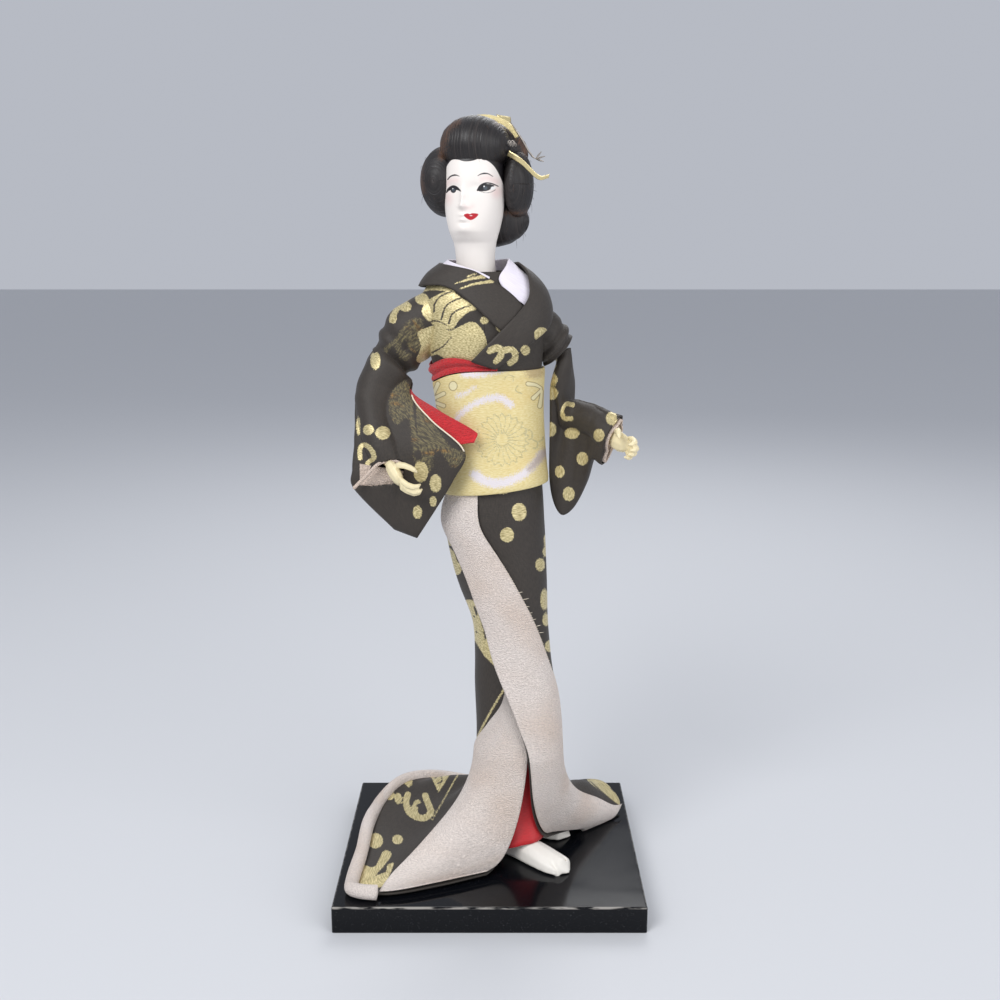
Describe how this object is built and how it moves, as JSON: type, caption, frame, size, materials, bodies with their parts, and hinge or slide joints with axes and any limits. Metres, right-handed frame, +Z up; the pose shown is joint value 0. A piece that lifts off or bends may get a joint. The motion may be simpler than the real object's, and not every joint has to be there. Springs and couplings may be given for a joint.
{
  "type": "geisha doll",
  "caption": "Standing kimono doll on a black lacquered plinth, with a trailing brocade skirt, a gold sash, an upswept wig and both hands held out.",
  "frame": {"origin": "centre of the plinth's footprint, on the surface it rests on", "axes": "+Z up, along the doll's height; -Y is where the plinth's front edge faces; +X is the viewer's right, the doll's left"},
  "size_m": [0.135, 0.1164, 0.3402],
  "materials": {
    "lacquer": "polished black lacquer",
    "dark_brocade": "satin ground with woven gold figures",
    "gold_brocade": "stiff brocade with a soft sheen",
    "pink_crepe": "crinkled crepe",
    "cream_lining": "matt",
    "red_crepe": "crinkled crepe",
    "red_satin": "satin",
    "white_silk": "matt",
    "face": "satin paint over a moulded head",
    "hand": "aged ivory paint",
    "tabi": "white paint",
    "hair": "combed black fibre",
    "gold_paper": "thin gilt strip",
    "silver_wire": "fine twisted wire, dulled",
    "steel_wire": "plain wire",
    "padding": "wound straw and paper"
  },
  "bodies": {
    "root": {"plinth": "lacquer", "front_leg": "tabi", "rear_leg": "tabi", "front_leg_wire": "steel_wire", "rear_leg_wire": "steel_wire", "body_core": "padding", "head": "face", "hair_front_roll": "hair", "hair_wing_right": "hair", "hair_wing_left": "hair", "hair_bun": "hair", "hair_nape_roll": "hair", "hairpin": "gold_paper", "wire_spray": "silver_wire", "hair_comb": "gold_paper", "kimono_bodice": "dark_brocade", "kimono_collar": "dark_brocade", "under_collar": "white_silk", "right_sleeve": "dark_brocade", "left_sleeve": "dark_brocade", "right_cuff_lining": "cream_lining", "left_cuff_lining": "cream_lining", "red_under_sleeve": "red_crepe", "right_forearm": "hand", "left_forearm": "hand", "right_arm_wire": "steel_wire", "left_arm_wire": "steel_wire", "kimono_skirt": "dark_brocade", "upper_lining_band": "pink_crepe", "lower_lining_band": "pink_crepe", "hem_roll": "pink_crepe", "red_underskirt": "red_satin", "sash": "gold_brocade", "red_scarf": "red_crepe", "sash_bow": "gold_brocade", "sash_tail": "gold_brocade", "bow_pillow": "red_crepe"}
  },
  "joints": []
}
